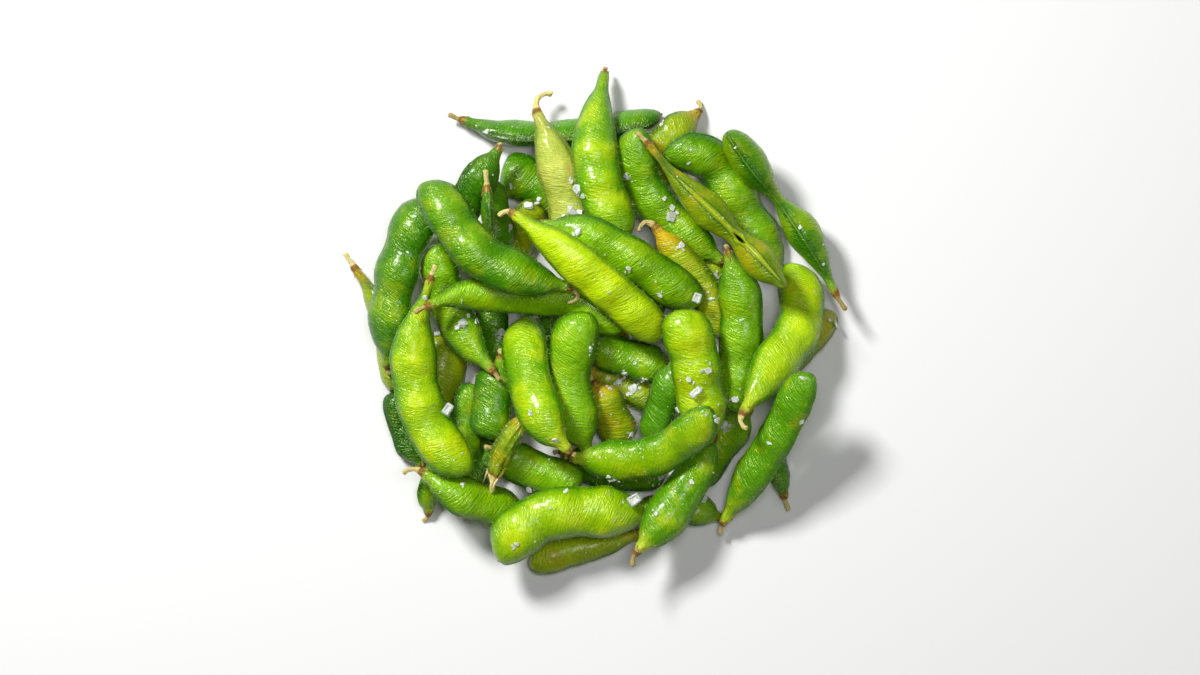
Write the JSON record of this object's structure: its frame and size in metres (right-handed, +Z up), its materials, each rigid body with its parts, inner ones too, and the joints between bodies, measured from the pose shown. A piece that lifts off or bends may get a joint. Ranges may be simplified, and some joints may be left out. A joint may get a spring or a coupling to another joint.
{
  "type": "edamame pod bundle",
  "caption": "Bundle of boiled edamame pods heaped loosely on a flat surface, stalks still on, with flakes of coarse salt lying on top.",
  "frame": {"origin": "on the surface that the bundle lies on, at the middle of the heap as seen from above", "axes": "+Z up; +Y runs from the middle of the heap towards the tallest pod stalk at its far edge; +X completes a right-handed frame, to the right as seen from above with +Y away"},
  "size_m": [0.1626, 0.164, 0.0369],
  "materials": {
    "pod_bright": "satin",
    "pod_green": "satin",
    "pod_deep": "satin",
    "pod_olive": "satin",
    "pod_pale": "satin",
    "salt": "gloss"
  },
  "bodies": {
    "root": {"pod_01": "pod_deep", "pod_02": "pod_olive", "pod_03": "pod_olive", "pod_04": "pod_green", "pod_05": "pod_deep", "pod_06": "pod_deep", "pod_07": "pod_green", "pod_08": "pod_olive", "pod_09": "pod_green", "pod_10": "pod_olive", "pod_11": "pod_green", "pod_12": "pod_olive", "pod_13": "pod_deep", "pod_14": "pod_deep", "pod_15": "pod_olive", "pod_16": "pod_olive", "pod_17": "pod_deep", "pod_18": "pod_olive", "pod_19": "pod_olive", "pod_20": "pod_deep", "pod_21": "pod_deep", "pod_22": "pod_green", "pod_23": "pod_deep", "pod_24": "pod_green", "pod_25": "pod_green", "pod_26": "pod_olive", "pod_27": "pod_green", "pod_28": "pod_deep", "pod_29": "pod_green", "pod_30": "pod_deep", "pod_31": "pod_deep", "pod_32": "pod_green", "pod_33": "pod_olive", "pod_34": "pod_green", "pod_35": "pod_green", "pod_36": "pod_bright", "pod_37": "pod_green", "pod_38": "pod_olive", "pod_39": "pod_green", "pod_40": "pod_pale", "pod_41": "pod_bright", "pod_42": "pod_green", "pod_43": "pod_bright", "pod_44": "pod_green", "pod_45": "pod_green", "pod_46": "pod_green", "pod_47": "pod_green", "pod_48": "pod_bright", "pod_49": "pod_bright", "pod_50": "pod_green", "pod_51": "pod_olive", "pod_52": "pod_bright", "pod_53": "pod_bright", "pod_54": "pod_bright", "pod_55": "pod_bright", "pod_56": "pod_bright", "salt_flake_1": "salt", "salt_flake_2": "salt", "salt_flake_3": "salt", "salt_flake_4": "salt"}
  },
  "joints": []
}
